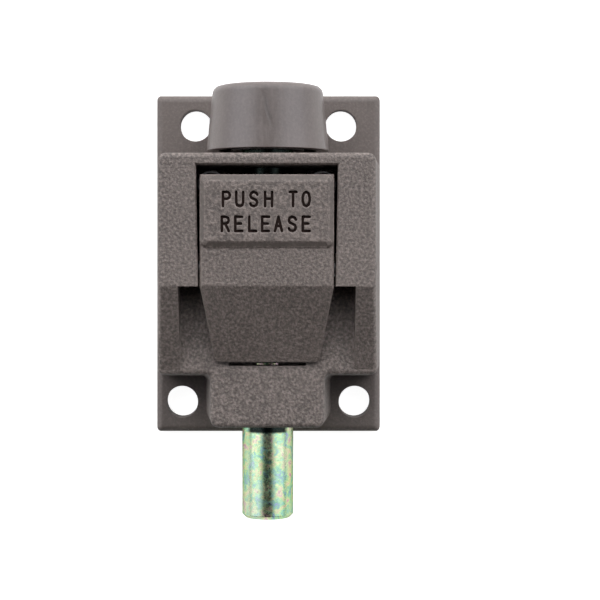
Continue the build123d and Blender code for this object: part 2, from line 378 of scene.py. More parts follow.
@dataclass(frozen=True)
class MouldedFinish:
    """Brown moulded plastic, grained by the mould in front of a depth and satin behind it."""

    name: str
    colour: Colour = (0.188, 0.156, 0.143)
    satin_colour: Colour = (0.160, 0.133, 0.124)
    hollow_shade: float = 0.42
    peak_shade: float = 1.65
    # shares of painted shade in the grain's hollows and painted highlight on its peaks
    hollow_shade_share: float = 0.8
    peak_highlight_share: float = 0.9
    soil_mm: float = 9.0
    soil_pale: float = 0.16
    soil_dull: float = 0.08
    grit_mm: float = 0.42
    relief_mm: float = 0.065
    specular: float = 0.75
    edge_mm: float = 0.2
    # share of painted highlight along the rounded edges
    edge_highlight_share: float = 0.4
    grained_from_mm: float = 3.3
    smooth_band_mm: Point | None = None
    grained_share: float = 1.0
    satin_share: float = 0.25
    roughness: float = 0.57
    wear_and_sheen: KnobWearAndSheen | None = None

    def build(self, effects: Effects) -> bpy.types.Material:
        """Makes the material.

        Args:
            effects: Shared node groups.

        Returns:
            The material.
        """
        material, graph, shader = new_material(self.name)
        join = graph.tree.links.new
        place = graph.add("ShaderNodeTexCoord").outputs["Object"]
        apart = graph.add("ShaderNodeSeparateXYZ", {0: place})
        raised = self._grained(graph, graph.math("MULTIPLY", apart.outputs[1], -1.0))
        front = graph.span(raised, 0.0, 1.0, self.satin_share, self.grained_share)
        grain = Effects.place(graph, effects.grain, {"Vector": place, "Grit": self.grit_mm * MM}).outputs
        soil = Effects.place(
            graph, effects.patches, {"Vector": place, "Size": self.soil_mm * MM, "Stretch": 1.0}
        ).outputs["Mask"]
        edges = Effects.place(graph, effects.edges, {"Radius": self.edge_mm * MM}).outputs
        dark = tuple(self.hollow_shade * c for c in self.colour)
        pale = tuple(min(1.0, self.peak_shade * c + 0.01) for c in self.colour)
        hollows = graph.math("MULTIPLY", grain["Hollows"], front)
        peaks = graph.math("MULTIPLY", grain["Peaks"], front)
        colour = graph.mix(raised, self.satin_colour, self.colour)
        for mask, share, shade in (
            # painted shade in the grain's hollows
            (hollows, self.hollow_shade_share, dark),
            # painted highlight on the grain's peaks
            (peaks, self.peak_highlight_share, pale),
            (soil, self.soil_pale, pale),
            # painted highlight along the rounded edges
            (edges["Edge"], self.edge_highlight_share, pale),
        ):
            colour = graph.mix(graph.math("MULTIPLY", mask, share), colour, shade)
        dull = graph.math("MULTIPLY", soil, self.soil_dull)
        roughness = graph.math("ADD", dull, self.roughness - self.soil_dull / 2)
        relief = graph.math("MULTIPLY", grain["Height"], front)
        if self.wear_and_sheen:
            rub_and_sheen = self.wear_and_sheen.rub_and_sheen(graph, apart, effects, place)
            # painted highlight: the rub marks pale the knob down its middle
            colour = graph.mix(graph.math("MULTIPLY", rub_and_sheen, self.wear_and_sheen.sheen_pale), colour, pale)
            roughness = graph.math("ADD", roughness, graph.math("MULTIPLY", rub_and_sheen, self.wear_and_sheen.rub_dull))
            dent = self.wear_and_sheen.dent(graph, apart)
            colour = graph.mix(graph.math("MULTIPLY", dent, self.wear_and_sheen.dent_dark), colour, dark)
            relief = graph.math("SUBTRACT", relief, graph.math("MULTIPLY", dent, self.wear_and_sheen.dent_depth))
        join(colour, shader.inputs["Base Color"])
        join(roughness, shader.inputs["Roughness"])
        shader.inputs["Specular IOR Level"].default_value = self.specular
        distance = self.relief_mm * MM
        bumps = {"Height": relief, "Normal": edges["Normal"], "Distance": distance, "Strength": 1.0}
        join(graph.add("ShaderNodeBump", bumps).outputs[0], shader.inputs["Normal"])
        return material

    def _grained(self, graph: Graph, depth: Socket) -> Socket:
        """Mask of where the mould's grain is.

        Args:
            graph: The material's graph.
            depth: Socket of the depth in front of the part's back.

        Returns:
            The mask's socket.
        """
        raised = graph.span(depth, (self.grained_from_mm - 0.2) * MM, self.grained_from_mm * MM)
        if not self.smooth_band_mm:
            return raised
        low, high = self.smooth_band_mm
        rise = graph.span(depth, (low - 0.1) * MM, low * MM)
        fall = graph.span(depth, high * MM, (high - 0.15) * MM)
        return graph.math("SUBTRACT", raised, graph.math("MULTIPLY", rise, fall), clamp=True)


@dataclass(frozen=True)
class YellowZincFinish:
    """Yellow zinc plate, pale gold with green and violet where the film thickens."""

    FILM = (
        (0.33, (0.36, 0.36, 0.66)),
        (0.42, (0.30, 0.66, 0.50)),
        (0.49, (0.52, 0.82, 0.40)),
        (0.56, (0.86, 0.84, 0.44)),
        (0.64, (0.74, 0.42, 0.52)),
    )

    name: str = "yellow_zinc_plate"
    film_density: float = 620.0
    thin_film: Colour = (0.74, 0.84, 0.72)
    thin_share: float = 0.5
    stain_mm: float = 3.2
    stain_stretch: float = 2.2
    edge_tint: Colour = (0.5, 0.62, 0.48)
    roughness: Point = (0.18, 0.38)
    pit_density: float = 2400.0
    pit_mm: float = 0.006
    # painted shade: darker on the bolt under the knob and in a band below the boss
    shaded_from_mm: Point = (11.6, 13.2)
    ring_from_mm: Point = (-26.1, -25.8)
    ring_to_mm: Point = (-24.0, -22.5)
    ring_front_mm: Point = (14.4, 15.0)
    shade_colour: Colour = (0.022, 0.03, 0.026)

    def build(self, effects: Effects) -> bpy.types.Material:
        """Makes the material.

        Args:
            effects: Shared node groups.

        Returns:
            The material.
        """
        material, graph, shader = new_material(self.name)
        join = graph.tree.links.new
        place = graph.add("ShaderNodeTexCoord").outputs["Object"]
        cloud = {"Detail": 5.0, "Roughness": 0.66, "Distortion": 0.5}
        film = graph.add("ShaderNodeTexNoise", {"Vector": place, "Scale": self.film_density, **cloud})
        sizes = {"Vector": place, "Size": self.stain_mm * MM, "Stretch": self.stain_stretch}
        stain = Effects.place(graph, effects.patches, sizes)
        ramp = graph.add("ShaderNodeValToRGB", {"Fac": film.outputs[0]})
        stops = ramp.color_ramp.elements
        while len(stops) < len(self.FILM):
            stops.new(0.5)
        for stop, (position, colour) in zip(stops, self.FILM):
            stop.position = position
            stop.color = (*colour, 1.0)
        thin = graph.math("MULTIPLY", stain.outputs["Mask"], self.thin_share)
        colour = graph.mix(thin, ramp.outputs[0], self.thin_film)
        # painted shade under the knob and below the boss
        colour = graph.mix(self._painted_shade(graph, place), colour, self.shade_colour)
        join(colour, shader.inputs["Base Color"])
        pits = graph.add(
            "ShaderNodeTexNoise",
            {"Vector": place, "Scale": self.pit_density, "Detail": 3.0, "Roughness": 0.7},
        ).outputs[0]
        join(graph.span(pits, 0.35, 0.7, *self.roughness), shader.inputs["Roughness"])
        shader.inputs["Metallic"].default_value = 1.0
        shader.inputs["Specular Tint"].default_value = (*self.edge_tint, 1.0)
        edges = Effects.place(graph, effects.edges).outputs["Normal"]
        bumps = {"Height": pits, "Normal": edges, "Distance": self.pit_mm * MM, "Strength": 0.8}
        join(graph.add("ShaderNodeBump", bumps).outputs[0], shader.inputs["Normal"])
        return material

    def _painted_shade(self, graph: Graph, place: Socket) -> Socket:
        """Mask of painted shade, on the bolt under the knob and in a band in front just below the boss.

        Args:
            graph: The material's graph.
            place: The place's socket.

        Returns:
            The mask's socket.
        """
        _, along, up = graph.add("ShaderNodeSeparateXYZ", {0: place}).outputs
        top = graph.span(up, self.shaded_from_mm[0] * MM, self.shaded_from_mm[1] * MM)
        foot = graph.span(up, self.ring_from_mm[0] * MM, self.ring_from_mm[1] * MM)
        head = graph.span(up, self.ring_to_mm[1] * MM, self.ring_to_mm[0] * MM)
        front = graph.span(along, -self.ring_front_mm[0] * MM, -self.ring_front_mm[1] * MM)
        ring = graph.math("MULTIPLY", graph.math("MULTIPLY", foot, head), front)
        return graph.math("MAXIMUM", top, ring)


@dataclass(frozen=True)
class SteelFinish:
    """Plain steel, plated or drawn, with faint tarnish."""

    name: str
    colour: Colour
    roughness: float
    tarnish_mm: float = 2.0
    tarnish_shade: float = 0.7
    tarnish_share: float = 0.5

    def build(self, effects: Effects) -> bpy.types.Material:
        """Makes the material.

        Args:
            effects: Shared node groups.

        Returns:
            The material.
        """
        material, graph, shader = new_material(self.name)
        join = graph.tree.links.new
        place = graph.add("ShaderNodeTexCoord").outputs["Object"]
        sizes = {"Vector": place, "Size": self.tarnish_mm * MM, "Stretch": 1.0}
        mask = Effects.place(graph, effects.patches, sizes).outputs["Mask"]
        dull = tuple(self.tarnish_shade * c for c in self.colour)
        share = graph.math("MULTIPLY", mask, self.tarnish_share)
        join(graph.mix(share, self.colour, dull), shader.inputs["Base Color"])
        smoothest, dullest = self.roughness - 0.05, self.roughness + 0.1
        join(graph.span(mask, 0.0, 1.0, smoothest, dullest), shader.inputs["Roughness"])
        shader.inputs["Metallic"].default_value = 1.0
        return material


@dataclass(frozen=True)
class LetterFinish:
    """Dark matt ground of the cut letters."""

    name: str = "letter_ground"
    colour: Colour = (0.026, 0.016, 0.014)
    dust_mm: float = 0.4
    dust_shade: float = 2.2
    dust_share: float = 0.35
    roughness: float = 0.8
    specular: float = 0.15

    def build(self, effects: Effects) -> bpy.types.Material:
        """Makes the material.

        Args:
            effects: Shared node groups.

        Returns:
            The material.
        """
        material, graph, shader = new_material(self.name)
        place = graph.add("ShaderNodeTexCoord").outputs["Object"]
        sizes = {"Vector": place, "Size": self.dust_mm * MM, "Stretch": 1.0}
        dust = Effects.place(graph, effects.patches, sizes).outputs["Mask"]
        pale = tuple(self.dust_shade * c for c in self.colour)
        colour = graph.mix(graph.math("MULTIPLY", dust, self.dust_share), self.colour, pale)
        graph.tree.links.new(colour, shader.inputs["Base Color"])
        shader.inputs["Roughness"].default_value = self.roughness
        shader.inputs["Specular IOR Level"].default_value = self.specular
        return material


class Workshop:
    """Steps that several sub-assemblies share."""

    @staticmethod
    def new_object(name: str, mesh: bpy.types.Mesh) -> bpy.types.Object:
        """Puts a mesh into the scene as an object at the origin.

        Args:
            name: The object's name.
            mesh: Its mesh, already in place.

        Returns:
            The object.
        """
        obj = bpy.data.objects.new(name, mesh)
        bpy.context.scene.collection.objects.link(obj)
        return obj

    @staticmethod
    def dress(obj: bpy.types.Object, material: bpy.types.Material, slot: Slot) -> None:
        """Gives an object its one finish.

        Args:
            obj: The object.
            material: The finish.
            slot: Not used.
        """
        obj.data.materials.clear()
        obj.data.materials.append(material)

    @staticmethod
    def merged_copy(node: str, name: str) -> tuple[bpy.types.Mesh, bmesh.types.BMesh]:
        """Copy of a CAD piece with its corners merged and its flat faces made whole.

        Args:
            node: The CAD piece.
            name: Name of the copy.

        Returns:
            The copy's mesh and its editable form.
        """
        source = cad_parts[node]
        mesh = source.data.copy()
        mesh.transform(source.matrix_world)
        mesh.name = name
        work = bmesh.new()
        work.from_mesh(mesh)
        bmesh.ops.remove_doubles(work, verts=work.verts, dist=0.002 * MM)
        bmesh.ops.dissolve_limit(work, angle_limit=math.radians(0.2), verts=work.verts, edges=work.edges)
        return mesh, work

    @classmethod
    def stand_in(
        cls,
        node: str,
        name: str,
        body: Body,
        material: bpy.types.Material,
        slot: Slot,
        angle: float = FLAT_ANGLE,
    ) -> bpy.types.Object:
        """Dressed copy of a CAD piece, with its round faces shaded smooth, that takes its place.

        Args:
            node: The CAD piece.
            name: Name of the copy.
            body: The body that it rides on.
            material: Its finish.
            slot: The record's slot that the finish belongs to.
            angle: Edges flatter than this many degrees are shaded smooth.

        Returns:
            The copy, at the origin.
        """
        mesh, work = cls.merged_copy(node, name)
        work.to_mesh(mesh)
        work.free()
        piece = cls.new_object(name, mesh)
        cls.shade(piece, angle)
        cls.dress(piece, material, slot)
        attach(piece, body.value)
        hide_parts(node)
        return piece

    @staticmethod
    def shade(obj: bpy.types.Object, angle: float) -> None:
        """Keeps flat faces flat in the light, so that only round edges turn it.

        Args:
            obj: The piece.
            angle: Faces that turn less than this many degrees are shaded as one.
        """
        mesh = obj.data
        limit = math.cos(math.radians(angle))
        around: list[list[tuple[Vector, float]]] = [[] for _ in mesh.vertices]
        for face in mesh.polygons:
            for vert in face.vertices:
                around[vert].append((face.normal.copy(), (face.area / MM**2) ** 2))
        normals = []
        for face in mesh.polygons:
            own = face.normal.copy()
            for vert in face.vertices:
                near = [normal * weight for normal, weight in around[vert] if own.dot(normal) > limit]
                total = sum(near, Vector())
                normals.append(total.normalized() if total.length > 0 else own)
        mesh.polygons.foreach_set("use_smooth", [True] * len(mesh.polygons))
        mesh.normals_split_custom_set(normals)

    @staticmethod
    def apply_modifiers(obj: bpy.types.Object) -> None:
        """Turns an object's modifiers into plain mesh.

        Args:
            obj: The object.
        """
        bpy.context.view_layer.update()
        depsgraph = bpy.context.evaluated_depsgraph_get()
        mesh = bpy.data.meshes.new_from_object(
            obj.evaluated_get(depsgraph), preserve_all_data_layers=True, depsgraph=depsgraph
        )
        mesh.name = obj.name
        obj.modifiers.clear()
        obj.data = mesh


STROKES: dict[str, tuple[tuple[Point, ...], ...]] = {
    "P": (((0, 0), (0, 1)), ((0, 1), (0.62, 1), (0.9, 0.92), (1, 0.76), (0.9, 0.6), (0.62, 0.52), (0, 0.52))),
    "U": (((0, 1), (0, 0.26), (0.14, 0.07), (0.5, 0), (0.86, 0.07), (1, 0.26), (1, 1)),),
    "S": (
        (
            (1, 0.8), (0.86, 0.94), (0.5, 1), (0.14, 0.93), (0, 0.76), (0.12, 0.6), (0.5, 0.51),
            (0.88, 0.41), (1, 0.25), (0.86, 0.07), (0.5, 0), (0.14, 0.06), (0, 0.2),
        ),
    ),
    "H": (((0, 0), (0, 1)), ((1, 0), (1, 1)), ((0, 0.52), (1, 0.52))),
    "T": (((0, 1), (1, 1)), ((0.5, 1), (0.5, 0))),
    "O": (
        (
            (0.5, 1), (0.16, 0.9), (0, 0.62), (0, 0.38), (0.16, 0.1), (0.5, 0),
            (0.84, 0.1), (1, 0.38), (1, 0.62), (0.84, 0.9), (0.5, 1),
        ),
    ),
    "R": (
        ((0, 0), (0, 1)),
        ((0, 1), (0.62, 1), (0.9, 0.92), (1, 0.76), (0.9, 0.6), (0.62, 0.52), (0, 0.52)),
        ((0.5, 0.52), (1, 0)),
    ),
    "E": (((1, 1), (0, 1), (0, 0), (1, 0)), ((0, 0.52), (0.82, 0.52))),
    "L": (((0, 1), (0, 0), (1, 0)),),
    "A": (((0, 0), (0.5, 1), (1, 0)), ((0.2, 0.36), (0.8, 0.36))),
}


@dataclass
class Legend:
    """Words cut into the pad, each letter drawn as plain strokes."""

    rows: tuple[tuple[str, float, tuple[float, ...]], ...] = (
        ("PUSHTO", 8.66, (-5.96, -4.0, -1.92, 0.26, 3.87, 5.81)),
        ("RELEASE", 4.99, (-6.13, -4.14, -2.08, -0.18, 1.72, 3.77, 5.82)),
    )
    letter_width_mm: float = 1.02
    letter_height_mm: float = 2.1
    stroke_mm: float = 0.4
    cut_mm: float = 0.3
    proud_mm: float = 0.4
    end_sides: int = 5

    def cutter(self, face_depth: float) -> bpy.types.Object:
        """Builds the solid that cuts all the letters.

        Args:
            face_depth: Depth of the pad's face, in metres.

        Returns:
            The cutter, at the origin.
        """
        work = bmesh.new()
        for word, foot, middles in self.rows:
            for letter, middle in zip(word, middles):
                for stroke in STROKES[letter]:
                    points = [
                        (middle + (x - 0.5) * self.letter_width_mm, foot + y * self.letter_height_mm)
                        for x, y in stroke
                    ]
                    for start, end in zip(points, points[1:]):
                        self._groove(work, Vector(start), Vector(end), face_depth)
        bmesh.ops.recalc_face_normals(work, faces=work.faces)
        mesh = bpy.data.meshes.new("letter_cutter")
        work.to_mesh(mesh)
        work.free()
        return Workshop.new_object("letter_cutter", mesh)

    def _groove(self, work: bmesh.types.BMesh, start: Vector, end: Vector, face_depth: float) -> None:
        """Adds the solid of one straight groove with round ends.

        Args:
            work: Mesh that takes the solid.
            start: One end on the pad, across and up, in millimetres.
            end: The other end.
            face_depth: Depth of the pad's face, in metres.
        """
        along = (end - start).normalized()
        heading = math.atan2(along.y, along.x)
        radius = self.stroke_mm / 2
        outline: list[Vector] = []
        for centre, turn in ((end, -math.pi / 2), (start, math.pi / 2)):
            for step in range(self.end_sides + 1):
                angle = heading + turn + math.pi * step / self.end_sides
                outline.append(centre + radius * Vector((math.cos(angle), math.sin(angle))))
        front = -face_depth - self.proud_mm * MM
        floor = -face_depth + self.cut_mm * MM
        low = [work.verts.new((p.x * MM, front, p.y * MM)) for p in outline]
        high = [work.verts.new((p.x * MM, floor, p.y * MM)) for p in outline]
        work.faces.new(low)
        work.faces.new(high[::-1])
        count = len(outline)
        for i in range(count):
            work.faces.new((low[i], high[i], high[(i + 1) % count], low[(i + 1) % count]))


@dataclass
class HousingUnit:
    """Moulded housing with its pivot pin."""

    finish: MouldedFinish = field(default_factory=lambda: MouldedFinish("moulded_brown_housing"))
    pin: SteelFinish = field(default_factory=lambda: SteelFinish("plated_steel", (0.56, 0.57, 0.58), 0.3))

    def build(self, effects: Effects) -> list[bpy.types.Object]:
        """Makes and dresses the pieces that stay still.

        Args:
            effects: Shared node groups.

        Returns:
            The pieces.
        """
        plan = (
            ("housing", "housing_moulding", self.finish.build(effects), Slot.BROWN),
            ("pivot_pin", "pivot_pin_steel", self.pin.build(effects), Slot.ZINC),
        )
        return [Workshop.stand_in(node, name, Body.HOUSING, *dress) for node, name, *dress in plan]


@dataclass
class BoltUnit:
    """Bolt with the foot knob on top and its washer and clip inside."""

    plating: YellowZincFinish = field(default_factory=YellowZincFinish)
    knob: MouldedFinish = field(
        default_factory=lambda: MouldedFinish(
            "moulded_brown_knob",
            colour=(0.160, 0.134, 0.128),
            grained_from_mm=0.0,
            grained_share=0.16,
            satin_share=0.16,
            specular=0.95,
            roughness=0.33,
            wear_and_sheen=KnobWearAndSheen(),
        )
    )
    small: SteelFinish = field(default_factory=lambda: SteelFinish("washer_steel", (0.56, 0.57, 0.58), 0.34))

    def build(self, effects: Effects) -> list[bpy.types.Object]:
        """Makes and dresses the pieces that slide.

        Args:
            effects: Shared node groups.

        Returns:
            The pieces.
        """
        small = self.small.build(effects)
        plan = (
            ("bolt", "bolt_steel", self.plating.build(effects), Slot.YELLOW_ZINC, 32.0),
            ("knob", "foot_knob", self.knob.build(effects), Slot.BROWN, 40.0),
            ("thrust_washer", "thrust_washer_steel", small, Slot.ZINC, 32.0),
            ("retaining_clip", "retaining_clip_steel", small, Slot.ZINC, 32.0),
        )
        return [Workshop.stand_in(node, name, Body.BOLT, *dress) for node, name, *dress in plan]


@dataclass
class LeverUnit:
    """Release lever with the words cut into its pad."""

    finish: MouldedFinish = field(
        default_factory=lambda: MouldedFinish(
            "moulded_brown_lever",
            colour=(0.180, 0.148, 0.135),
            satin_colour=(0.130, 0.108, 0.096),
            grained_from_mm=0.5,
            smooth_band_mm=(24.58, 24.95),
            edge_mm=0.4,
            edge_highlight_share=0.6,
        )
    )
    legend: Legend = field(default_factory=Legend)
    letters: LetterFinish = field(default_factory=LetterFinish)
    pad_bevel_mm: float = 0.55
    pad_inset_mm: tuple[float, float] = (0.22, 0.5)
    pad_round_mm: float = 0.24
    pad_round_segments: int = 3
    pad_rim_angle: float = 15.0

    def build(self, effects: Effects) -> list[bpy.types.Object]:
        """Makes and dresses the lever.

        Args:
            effects: Shared node groups.

        Returns:
            The lever in a list.
        """
        low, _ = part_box("release_lever")
        mesh, work = Workshop.merged_copy("release_lever", "lever_moulding")
        self._round_pad(work, low.y)
        work.to_mesh(mesh)
        work.free()
        lever = Workshop.new_object("lever_moulding", mesh)
        Workshop.dress(lever, self.finish.build(effects), Slot.BROWN)
        cutter = self.legend.cutter(-low.y)
        cutter.data.materials.append(self.letters.build(effects))
        cut = lever.modifiers.new("letters", "BOOLEAN")
        cut.operation = "DIFFERENCE"
        cut.solver = "EXACT"
        cut.use_self = True
        cut.material_mode = "TRANSFER"
        cut.object = cutter
        Workshop.apply_modifiers(lever)
        bpy.data.objects.remove(cutter, do_unlink=True)
        Workshop.shade(lever, FLAT_ANGLE)
        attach(lever, Body.LEVER.value)
        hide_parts("release_lever")
        return [lever]

    def _round_pad(self, work: bmesh.types.BMesh, front: float) -> None:
        """Widens the bevelled rim of the pad and rounds both its edges.

        Args:
            work: The lever's editable mesh.
            front: Place of the pad's face along Y, in metres.
        """
        face = [vert for vert in work.verts if self._at(vert, front)]
        for axis, inset in zip((0, 2), self.pad_inset_mm):
            places = [vert.co[axis] for vert in face]
            middle, half = (min(places) + max(places)) / 2, (max(places) - min(places)) / 2
            for vert in face:
                vert.co[axis] = middle + (vert.co[axis] - middle) * (1 - inset * MM / half)
        flat = [side for side in work.faces if all(self._at(vert, front) for vert in side.verts)]
        bmesh.ops.dissolve_faces(work, faces=flat, use_verts=False)
        for depth in (front, front + self.pad_bevel_mm * MM):
            rim = [
                edge
                for edge in work.edges
                if all(self._at(vert, depth) for vert in edge.verts)
                and len(edge.link_faces) == 2
                and edge.calc_face_angle() > math.radians(self.pad_rim_angle)
            ]
            bmesh.ops.bevel(
                work,
                geom=rim,
                offset=self.pad_round_mm * MM,
                offset_type="OFFSET",
                segments=self.pad_round_segments,
                profile=0.5,
                affect="EDGES",
                clamp_overlap=True,
            )

    @staticmethod
    def _at(vert: bmesh.types.BMVert, y: float) -> bool:
        """Whether a corner lies at a place along Y."""
        return abs(vert.co.y - y) < SAME_PLACE_MM * MM


class CoilTree:
    """Geometry Nodes tree that winds a round wire into a spring along Z, with closed ends."""

    SIZES = ("Mean Radius", "Wire Radius", "Length", "Turns", "Closed Turns")
    WIRE_SIDES = 10

    def __init__(self) -> None:
        """Builds the tree once for all springs."""
        self.tree = bpy.data.node_groups.new("wound_spring", "GeometryNodeTree")
        socket = self.tree.interface.new_socket
        for name in self.SIZES:
            socket(name=name, in_out="INPUT", socket_type="NodeSocketFloat")
        socket(name="Points", in_out="INPUT", socket_type="NodeSocketInt")
        socket(name="Finish", in_out="INPUT", socket_type="NodeSocketMaterial")
        socket(name="Geometry", in_out="OUTPUT", socket_type="NodeSocketGeometry")
        self._wind()

    def _wind(self) -> None:
        """Places the nodes: a line, bent into a coil, given its wire."""
        graph = Graph(self.tree)
        inside = graph.add("NodeGroupInput").outputs
        radius, wire, length, turns, closed = (inside[name] for name in self.SIZES)
        line = graph.add("GeometryNodeCurvePrimitiveLine")
        points = graph.add("GeometryNodeResampleCurve", {"Curve": line.outputs[0], "Count": inside["Points"]})
        share = graph.add("GeometryNodeSplineParameter").outputs["Factor"]
        angle = graph.math("MULTIPLY", graph.math("MULTIPLY", share, turns), math.tau)
        end = graph.math("DIVIDE", closed, turns)
        far = graph.math("SUBTRACT", 1.0, end)
        end_rise = graph.math("MULTIPLY", graph.math("MULTIPLY", closed, wire), 2.0)
        both = graph.math("ADD", graph.math("MULTIPLY", end_rise, 2.0), graph.math("MULTIPLY", wire, 2.0))
        middle = graph.math("SUBTRACT", length, both)
        low = graph.span(share, 0.0, end, 0.0, end_rise)
        open_part = graph.span(share, end, far, 0.0, middle)
        high = graph.span(share, far, 1.0, 0.0, end_rise)
        height = graph.math("ADD", graph.math("ADD", graph.math("ADD", low, open_part), high), wire)
        across = graph.math("MULTIPLY", graph.math("COSINE", angle), radius)
        along = graph.math("MULTIPLY", graph.math("SINE", angle), radius)
        place = graph.add("ShaderNodeCombineXYZ", {0: across, 1: along, 2: height})
        bent = graph.add(
            "GeometryNodeSetPosition", {"Geometry": points.outputs[0], "Position": place.outputs[0]}
        )
        section = graph.add(
            "GeometryNodeCurvePrimitiveCircle", {"Resolution": self.WIRE_SIDES, "Radius": wire}
        )
        wound = graph.add(
            "GeometryNodeCurveToMesh",
            {"Curve": bent.outputs[0], "Profile Curve": section.outputs[0], "Fill Caps": True},
        )
        smooth = graph.add("GeometryNodeSetShadeSmooth", {"Geometry": wound.outputs[0]})
        whole = graph.add("GeometryNodeRealizeInstances", {"Geometry": smooth.outputs[0]})
        dressed = graph.add(
            "GeometryNodeSetMaterial", {"Geometry": whole.outputs[0], "Material": inside["Finish"]}
        )
        graph.add("NodeGroupOutput", {"Geometry": dressed.outputs[0]})

    def wind(
        self, name: str, sizes: Sequence[float], points: int, material: bpy.types.Material
    ) -> bpy.types.Object:
        """Winds one spring that stands on the origin.

        Args:
            name: The spring's name.
            sizes: Values of SIZES, in order, in metres and turns.
            points: Points along the wire.
            material: The spring's finish.

        Returns:
            The spring as a plain mesh.
        """
        mesh = bpy.data.meshes.new(name)
        obj = Workshop.new_object(name, mesh)
        modifier = obj.modifiers.new("wind", "NODES")
        modifier.node_group = self.tree
        values = {**dict(zip(self.SIZES, sizes)), "Points": points, "Finish": material}
        for item in self.tree.interface.items_tree:
            if item.in_out == "INPUT":
                modifier[item.identifier] = values[item.name]
        Workshop.apply_modifiers(obj)
        return obj


@dataclass
class SpringSet:
    """Return spring round the bolt and the two button springs behind the pad."""

    finish: SteelFinish = field(default_factory=lambda: SteelFinish("drawn_wire", (0.42, 0.42, 0.43), 0.28))
    return_sizes: tuple[float, float, float] = (4.5 * MM, 0.38 * MM, 7.5)
    button_sizes: tuple[float, float, float] = (1.95 * MM, 0.23 * MM, 8.0)
    return_points: int = 240
    button_points: int = 200
    closed_turns: float = 1.0

    def build(self, effects: Effects) -> list[bpy.types.Object]:
        """Winds, places and dresses the springs.

        Args:
            effects: Shared node groups.

        Returns:
            The springs.
        """
        material = self.finish.build(effects)
        tree = CoilTree()
        low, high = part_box("return_spring")
        middle = (low + high) / 2
        upright = Matrix.Translation((0, middle.y, low.z))
        radius, wire, turns = self.return_sizes
        sizes = (radius, wire, high.z - low.z, turns, self.closed_turns)
        spring = tree.wind("return_coil", sizes, self.return_points, material)
        spring.data.transform(upright)
        self._hang(spring, Body.BOLT, (0, middle.y, low.z), (0, middle.y, high.z), "return_spring")
        made = [spring]
        radius, wire, turns = self.button_sizes
        for side in ("left", "right"):
            low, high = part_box(f"button_spring_{side}")
            middle = (low + high) / 2
            seat = Matrix.Translation((middle.x, high.y, middle.z))
            sizes = (radius, wire, high.y - low.y, turns, self.closed_turns)
            spring = tree.wind(f"button_coil_{side}", sizes, self.button_points, material)
            spring.data.transform(seat @ Matrix.Rotation(math.radians(90), 4, "X"))
            ends = [(middle.x, y, middle.z) for y in (high.y, low.y)]
            self._hang(spring, Body.LEVER, ends[0], ends[1], f"button_spring_{side}")
            made.append(spring)
        return made

    @staticmethod
    def _hang(spring: bpy.types.Object, body: Body, start: tuple, end: tuple, node: str) -> None:
        """Bakes a spring's place into its mesh and hides the CAD piece that it stands for.

        Args:
            spring: The spring.
            body: Not used.
            start: Not used.
            end: Not used.
            node: The CAD piece that it stands for.
        """
        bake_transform(spring)
        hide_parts(node)


@dataclass(frozen=True)
class SoftBox:
    """One soft studio light."""

    name: str
    azimuth: float
    elevation: float
    width: float
    height: float
    radiance: float
    distance: float = 0.6


@dataclass(frozen=True)
class Sky:
    """World light: a soft dome above, which gloss sees as pale walls beside a dark gap at the lens."""

    dome_foot: Point = (0.12, 0.55)
    dome_level: float = 2.9
    crown: Point = (0.6, 0.95)
    crown_share: float = 0.3
    gap_edge: Point = (0.3, 0.5)
    gap_gloss: float = 0.05
    wall_gloss: float = 1.35
    wall_end: Point = (-0.3, 0.0)
    rear_share: float = 0.3
    wall_foot: Point = (-0.3, -0.1)
    foot_share: float = 0.05
    ceiling_edge: Point = (0.35, 0.6)
    ceiling_gloss: float = 0.5
    gloss_tint: Colour = (0.9, 0.93, 1.0)

    def build(self) -> bpy.types.World:
        """Makes the world.

        Returns:
            The world.
        """
        world = bpy.data.worlds.new("studio")
        world.use_nodes = True
        graph = Graph(world.node_tree)
        graph.tree.nodes.clear()
        rays = graph.add("ShaderNodeLightPath").outputs
        heading = graph.add("ShaderNodeTexCoord").outputs["Generated"]
        across, along, height = graph.add("ShaderNodeSeparateXYZ", {0: heading}).outputs
        beside = graph.span(graph.math("ABSOLUTE", across), *self.gap_edge, self.gap_gloss, self.wall_gloss)
        beside = graph.math("MULTIPLY", beside, graph.span(along, *self.wall_end, 1.0, self.rear_share))
        walls = graph.math("MULTIPLY", beside, graph.span(height, *self.wall_foot, self.foot_share, 1.0))
        ceiling = graph.span(height, *self.ceiling_edge, 0.0, self.ceiling_gloss)
        mirrored = graph.math("MAXIMUM", walls, ceiling)
        dome = graph.math(
            "MULTIPLY",
            graph.span(height, *self.dome_foot, 0.0, self.dome_level),
            graph.span(height, *self.crown, 1.0, self.crown_share),
        )
        level = graph.add(
            "ShaderNodeMix", {0: rays["Is Glossy Ray"], 2: dome, 3: mirrored}, data_type="FLOAT"
        ).outputs[0]
        tint = graph.mix(rays["Is Glossy Ray"], (1.0, 1.0, 1.0), self.gloss_tint)
        shown = graph.math("MAXIMUM", level, rays["Is Camera Ray"])
        light = graph.add("ShaderNodeBackground", {"Color": tint, "Strength": shown})
        graph.add("ShaderNodeOutputWorld", {0: light.outputs[0]})
        return world


